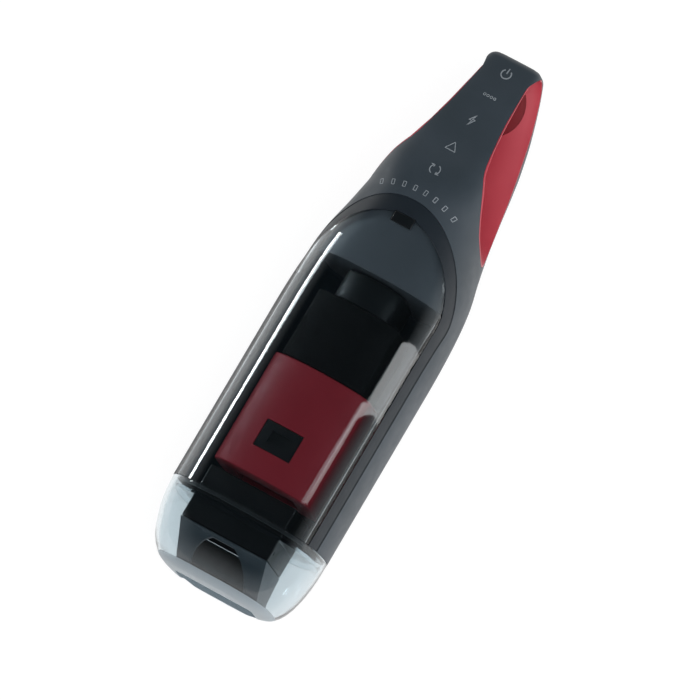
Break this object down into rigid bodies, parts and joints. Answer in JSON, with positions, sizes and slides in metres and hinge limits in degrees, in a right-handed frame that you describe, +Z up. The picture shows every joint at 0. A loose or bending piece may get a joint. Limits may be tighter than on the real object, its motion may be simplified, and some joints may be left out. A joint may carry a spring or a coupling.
{
  "type": "handheld vacuum",
  "caption": "Cordless handheld vacuum with a clear slide-off dust cup, red-framed filter cartridge, one-way inlet flap, fan motor and a tapered loop handle with a red finger liner.",
  "frame": {"origin": "on the floor plane, under the middle of the overall length and width", "axes": "+Y towards the handle end, -Y towards the nozzle, +X to the right seen from above with the nozzle near, +Z up"},
  "size_m": [0.1044, 0.366, 0.0883],
  "materials": {
    "slate_plastic": "fine satin moulding",
    "liner_plastic": "satin red moulding",
    "trim_plastic": "near-black satin moulding",
    "bulkhead_plastic": "smooth slate moulding",
    "button_plastic": "black satin moulding",
    "black_plastic": "plain black moulding",
    "steel": "plain machined steel",
    "screw_steel": "black oxide",
    "spring_steel": "drawn spring wire",
    "motor_steel": "zinc-plated drawn can",
    "rubber": "moulded rubber",
    "flap_rubber": "thin moulded silicone",
    "impeller_plastic": "glass-filled moulding",
    "cell_wrap": "shrunk film sleeve",
    "board": "solder-masked glass epoxy",
    "clear_plastic": "polished clear moulding, lightly smoked",
    "duct_plastic": "black moulding",
    "guide_plastic": "grey moulding",
    "filter_red": "dark red moulding",
    "screen_black": "black woven screen",
    "filter_media": "pleated filter paper",
    "filter_black": "black filter cloth",
    "collar_plastic": "black moulding"
  },
  "bodies": {
    "housing": {"upper_housing": "slate_plastic", "lower_housing": "slate_plastic", "handle_liner": "liner_plastic", "cup_trim": "trim_plastic", "motor_bulkhead": "bulkhead_plastic", "latch_bracket": "black_plastic", "latch_spring": "spring_steel", "motor_mount": "rubber", "fan_shroud": "black_plastic", "motor_can": "motor_steel", "motor_end_cap": "black_plastic", "motor_bearing_front": "steel", "motor_bearing_rear": "steel", "battery_cell_left": "cell_wrap", "battery_cell_right": "cell_wrap", "cell_holder": "black_plastic", "main_board": "board", "touch_board": "board", "light_board": "board", "charging_socket": "steel", "board_screw_left": "steel", "board_screw_right": "steel", "housing_screw_front_left": "screw_steel", "housing_screw_front_right": "screw_steel", "housing_screw_middle": "screw_steel", "housing_screw_rear": "screw_steel"},
    "latch": {"latch_button": "button_plastic", "latch_retainer": "steel"},
    "rotor": {"impeller": "impeller_plastic", "motor_shaft": "steel"},
    "cup": {"dust_cup": "clear_plastic", "nozzle": "clear_plastic", "inlet_duct": "duct_plastic", "mouth_guide": "guide_plastic", "cup_seal": "rubber", "flap_pin": "steel"},
    "flap": {"flap_valve": "flap_rubber"},
    "filter": {"filter_frame": "filter_red", "filter_screen": "screen_black", "filter_core": "filter_media", "filter_element": "filter_black", "filter_collar": "collar_plastic", "filter_seal": "rubber"}
  },
  "joints": [
    {"name": "cup_slide", "type": "slide", "parent": "housing", "child": "cup", "axis": [0, -1, 0], "range_m": [0, 0.215]},
    {"name": "filter_slide", "type": "slide", "parent": "cup", "child": "filter", "axis": [0, 1, 0], "range_m": [0, 0.172]},
    {"name": "flap_hinge", "type": "hinge", "parent": "cup", "child": "flap", "pos_m": [0, -0.15, 0.0672], "axis": [1, 0, 0], "range_deg": [0, 50]},
    {"name": "latch_press", "type": "slide", "parent": "housing", "child": "latch", "axis": [0, 0, -1], "range_m": [0, 0.002], "stiffness_N_per_m": 600, "springref_m": -0.001, "deforming": ["latch_spring"]},
    {"name": "impeller_spin", "type": "hinge", "parent": "housing", "child": "rotor", "pos_m": [0, 0.035, 0.052], "axis": [0, 1, 0], "continuous": true}
  ],
  "couplings": [
    {"joint": "filter_slide", "follows": "cup_slide", "ratio": 0.8}
  ]
}
